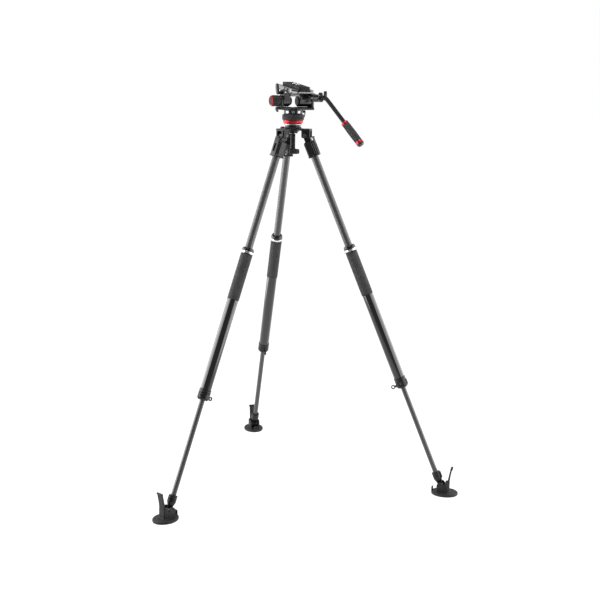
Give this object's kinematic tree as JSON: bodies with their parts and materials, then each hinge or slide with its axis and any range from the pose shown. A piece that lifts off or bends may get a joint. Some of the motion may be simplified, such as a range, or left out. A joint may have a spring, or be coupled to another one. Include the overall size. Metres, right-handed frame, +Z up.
{
  "type": "video tripod with fluid head",
  "caption": "Video tripod with telescopic carbon legs on rubber shoes, a levelling half ball, and a fluid head with pan and tilt, a sliding camera plate and a pan bar.",
  "frame": {"origin": "floor level, at the centre of the bounding box in X and Y", "axes": "+Z up from the floor; the head's tilt axis is along X, and the camera looks along +Y"},
  "size_m": [1.2717, 1.2313, 1.7066],
  "materials": {
    "carbon_fibre": "woven carbon fibre under a satin clear coat",
    "gloss_black_tube": "gloss black lacquer over a wound carbon tube",
    "satin_black_alloy": "cast alloy, satin black powder coat",
    "black_rubber": "matt black rubber",
    "bright_alloy": "machined bare alloy",
    "grey_anodised": "satin grey anodised",
    "red_anodised": "red anodised",
    "steel": "plated steel"
  },
  "bodies": {
    "crown": {"crown": "satin_black_alloy", "spirit_level": "red_anodised", "leg_front_hinge_pin": "steel", "leg_left_hinge_pin": "steel", "leg_right_hinge_pin": "steel"},
    "leg_front": {"leg_front_bracket": "satin_black_alloy", "leg_front_upper_tube": "carbon_fibre"},
    "leg_front_latch": {"leg_front_latch": "satin_black_alloy"},
    "leg_front_middle": {"leg_front_collar": "satin_black_alloy", "leg_front_middle_tube": "gloss_black_tube", "leg_front_lower_collar": "satin_black_alloy"},
    "leg_front_grip": {"leg_front_grip": "black_rubber"},
    "leg_front_lower": {"leg_front_lower_tube": "carbon_fibre", "leg_front_foot_block": "satin_black_alloy"},
    "leg_front_shoe": {"leg_front_shoe": "black_rubber"},
    "leg_left": {"leg_left_bracket": "satin_black_alloy", "leg_left_upper_tube": "carbon_fibre"},
    "leg_left_latch": {"leg_left_latch": "satin_black_alloy"},
    "leg_left_middle": {"leg_left_collar": "satin_black_alloy", "leg_left_middle_tube": "gloss_black_tube", "leg_left_lower_collar": "satin_black_alloy"},
    "leg_left_grip": {"leg_left_grip": "black_rubber"},
    "leg_left_lower": {"leg_left_lower_tube": "carbon_fibre", "leg_left_foot_block": "satin_black_alloy"},
    "leg_left_shoe": {"leg_left_shoe": "black_rubber"},
    "leg_right": {"leg_right_bracket": "satin_black_alloy", "leg_right_upper_tube": "carbon_fibre"},
    "leg_right_latch": {"leg_right_latch": "satin_black_alloy"},
    "leg_right_middle": {"leg_right_collar": "satin_black_alloy", "leg_right_middle_tube": "gloss_black_tube", "leg_right_lower_collar": "satin_black_alloy"},
    "leg_right_grip": {"leg_right_grip": "black_rubber"},
    "leg_right_lower": {"leg_right_lower_tube": "carbon_fibre", "leg_right_foot_block": "satin_black_alloy"},
    "leg_right_shoe": {"leg_right_shoe": "black_rubber"},
    "level_cup": {"clamp_cup": "bright_alloy"},
    "ball": {"half_ball": "bright_alloy", "base_ring": "red_anodised"},
    "clamp_knob": {"clamp_knob": "black_rubber"},
    "pan_drag": {"pan_drag_ring": "black_rubber"},
    "pan": {"pan_housing": "satin_black_alloy"},
    "pan_lock": {"pan_lock_lever": "satin_black_alloy"},
    "tilt_lock": {"tilt_lock_lever": "satin_black_alloy"},
    "tilt_drag": {"tilt_drag_knob": "black_rubber", "knob_cap": "red_anodised"},
    "tilt": {"drag_housing": "satin_black_alloy", "balance_housing": "satin_black_alloy", "tilt_bridge": "grey_anodised", "plate_holder": "grey_anodised"},
    "plate": {"camera_plate": "satin_black_alloy"},
    "camera_screw_1": {"camera_screw_1": "steel"},
    "camera_screw_2": {"camera_screw_2": "steel"},
    "plate_lever": {"plate_lock_lever": "satin_black_alloy"},
    "plate_button": {"plate_release_button": "red_anodised"},
    "pan_bar": {"bar_clamp": "satin_black_alloy", "pan_bar": "satin_black_alloy", "bar_collar": "red_anodised", "bar_grip": "black_rubber", "bar_end_cap": "red_anodised"},
    "bar_wing": {"bar_wing_knob": "satin_black_alloy"}
  },
  "joints": [
    {"name": "leg_front_swing", "type": "hinge", "parent": "crown", "child": "leg_front", "pos_m": [0.08021, -0.05578, 1.49014], "axis": [-0.9806, 0.1959, 0], "range_deg": [-40, 19]},
    {"name": "leg_left_swing", "type": "hinge", "parent": "crown", "child": "leg_left", "pos_m": [0.01421, -0.13091, 1.49014], "axis": [0.3206, -0.9472, 0], "range_deg": [-40, 19]},
    {"name": "leg_right_swing", "type": "hinge", "parent": "crown", "child": "leg_right", "pos_m": [0.11228, -0.15051, 1.49014], "axis": [0.66, 0.7513, 0], "range_deg": [-40, 19]},
    {"name": "leg_front_middle_slide", "type": "slide", "parent": "leg_front", "child": "leg_front_middle", "axis": [-0.0759, -0.38, 0.9219], "range_m": [0, 0.38]},
    {"name": "leg_left_middle_slide", "type": "slide", "parent": "leg_left", "child": "leg_left_middle", "axis": [0.3671, 0.1242, 0.9219], "range_m": [0, 0.38]},
    {"name": "leg_right_middle_slide", "type": "slide", "parent": "leg_right", "child": "leg_right_middle", "axis": [-0.2911, 0.2558, 0.9219], "range_m": [0, 0.38]},
    {"name": "leg_front_lower_slide", "type": "slide", "parent": "leg_front_middle", "child": "leg_front_lower", "axis": [-0.0759, -0.38, 0.9219], "range_m": [0, 0.38]},
    {"name": "leg_left_lower_slide", "type": "slide", "parent": "leg_left_middle", "child": "leg_left_lower", "axis": [0.3671, 0.1242, 0.9219], "range_m": [0, 0.38]},
    {"name": "leg_right_lower_slide", "type": "slide", "parent": "leg_right_middle", "child": "leg_right_lower", "axis": [-0.2911, 0.2558, 0.9219], "range_m": [0, 0.38]},
    {"name": "pan", "type": "hinge", "parent": "ball", "child": "pan", "pos_m": [0.0689, -0.1124, 1.5753], "axis": [0, 0, 1], "continuous": true},
    {"name": "tilt", "type": "hinge", "parent": "pan", "child": "tilt", "pos_m": [0.0689, -0.1124, 1.629], "axis": [1, 0, 0], "range_deg": [-83, 67]},
    {"name": "pan_bar_swing", "type": "hinge", "parent": "tilt", "child": "pan_bar", "pos_m": [0.1574, -0.17672, 1.64117], "axis": [1, 0, 0], "range_deg": [-60, 60]},
    {"name": "plate_slide", "type": "slide", "parent": "tilt", "child": "plate", "axis": [0, 0.9903, 0.1392], "range_m": [-0.025, 0.025]},
    {"name": "level_pitch", "type": "hinge", "parent": "crown", "child": "level_cup", "pos_m": [0.0689, -0.1124, 1.5315], "axis": [1, 0, 0], "range_deg": [-7, 7]},
    {"name": "level_roll", "type": "hinge", "parent": "level_cup", "child": "ball", "pos_m": [0.0689, -0.1124, 1.5315], "axis": [0, 1, 0], "range_deg": [-7, 7]},
    {"name": "leg_front_shoe_rock", "type": "hinge", "parent": "leg_front_lower", "child": "leg_front_shoe", "pos_m": [0.19999, 0.54364, 0.036], "axis": [-0.9806, 0.1959, 0], "range_deg": [-18, 18]},
    {"name": "leg_left_shoe_rock", "type": "hinge", "parent": "leg_left_lower", "child": "leg_left_shoe", "pos_m": [-0.56479, -0.32689, 0.036], "axis": [0.3206, -0.9472, 0], "range_deg": [-18, 18]},
    {"name": "leg_right_shoe_rock", "type": "hinge", "parent": "leg_right_lower", "child": "leg_right_shoe", "pos_m": [0.5715, -0.55394, 0.036], "axis": [0.66, 0.7513, 0], "range_deg": [-18, 18]},
    {"name": "tilt_drag_turn", "type": "hinge", "parent": "pan", "child": "tilt_drag", "pos_m": [0.0689, -0.1124, 1.629], "axis": [1, 0, 0], "range_deg": [-135, 135]},
    {"name": "pan_drag_turn", "type": "hinge", "parent": "ball", "child": "pan_drag", "pos_m": [0.0689, -0.1124, 1.5634], "axis": [0, 0, 1], "range_deg": [-135, 135]},
    {"name": "clamp_knob_turn", "type": "hinge", "parent": "ball", "child": "clamp_knob", "pos_m": [0.0689, -0.1124, 1.5315], "axis": [0, 0, 1], "continuous": true},
    {"name": "pan_lock_turn", "type": "hinge", "parent": "pan", "child": "pan_lock", "pos_m": [0.0689, -0.1124, 1.5863], "axis": [0.891, -0.454, 0], "range_deg": [-50, 50]},
    {"name": "tilt_lock_turn", "type": "hinge", "parent": "pan", "child": "tilt_lock", "pos_m": [0.0689, -0.1184, 1.599], "axis": [-1, 0, 0], "range_deg": [-60, 60]},
    {"name": "plate_lever_turn", "type": "hinge", "parent": "tilt", "child": "plate_lever", "pos_m": [0.0689, -0.10483, 1.66137], "axis": [1, 0, 0], "range_deg": [-45, 25]},
    {"name": "leg_front_grip_turn", "type": "hinge", "parent": "leg_front_middle", "child": "leg_front_grip", "pos_m": [0.08021, -0.05578, 1.49014], "axis": [-0.0759, -0.38, 0.9219], "range_deg": [0, 90]},
    {"name": "leg_left_grip_turn", "type": "hinge", "parent": "leg_left_middle", "child": "leg_left_grip", "pos_m": [0.01421, -0.13091, 1.49014], "axis": [0.3671, 0.1242, 0.9219], "range_deg": [0, 90]},
    {"name": "leg_right_grip_turn", "type": "hinge", "parent": "leg_right_middle", "child": "leg_right_grip", "pos_m": [0.11228, -0.15051, 1.49014], "axis": [-0.2911, 0.2558, 0.9219], "range_deg": [0, 90]},
    {"name": "leg_front_latch_pull", "type": "hinge", "parent": "leg_front", "child": "leg_front_latch", "pos_m": [0.09131, -0.00026, 1.4174], "axis": [-0.9806, 0.1959, 0], "range_deg": [0, 12], "stiffness_Nm_per_rad": 0.4},
    {"name": "leg_left_latch_pull", "type": "hinge", "parent": "leg_left", "child": "leg_left_latch", "pos_m": [-0.03942, -0.14906, 1.4174], "axis": [0.3206, -0.9472, 0], "range_deg": [0, 12], "stiffness_Nm_per_rad": 0.4},
    {"name": "leg_right_latch_pull", "type": "hinge", "parent": "leg_right", "child": "leg_right_latch", "pos_m": [0.15481, -0.18787, 1.4174], "axis": [0.66, 0.7513, 0], "range_deg": [0, 12], "stiffness_Nm_per_rad": 0.4},
    {"name": "bar_wing_turn", "type": "hinge", "parent": "pan_bar", "child": "bar_wing", "pos_m": [0.1574, -0.17672, 1.64117], "axis": [1, 0, 0], "continuous": true},
    {"name": "plate_button_press", "type": "slide", "parent": "tilt", "child": "plate_button", "axis": [1, 0, 0], "range_m": [0, 0.003], "stiffness_N_per_m": 300},
    {"name": "camera_screw_1_turn", "type": "hinge", "parent": "plate", "child": "camera_screw_1", "pos_m": [0.0689, -0.11818, 1.69887], "axis": [0, -0.1392, 0.9903], "continuous": true},
    {"name": "camera_screw_2_turn", "type": "hinge", "parent": "plate", "child": "camera_screw_2", "pos_m": [0.0689, -0.14987, 1.69442], "axis": [0, -0.1392, 0.9903], "continuous": true}
  ]
}
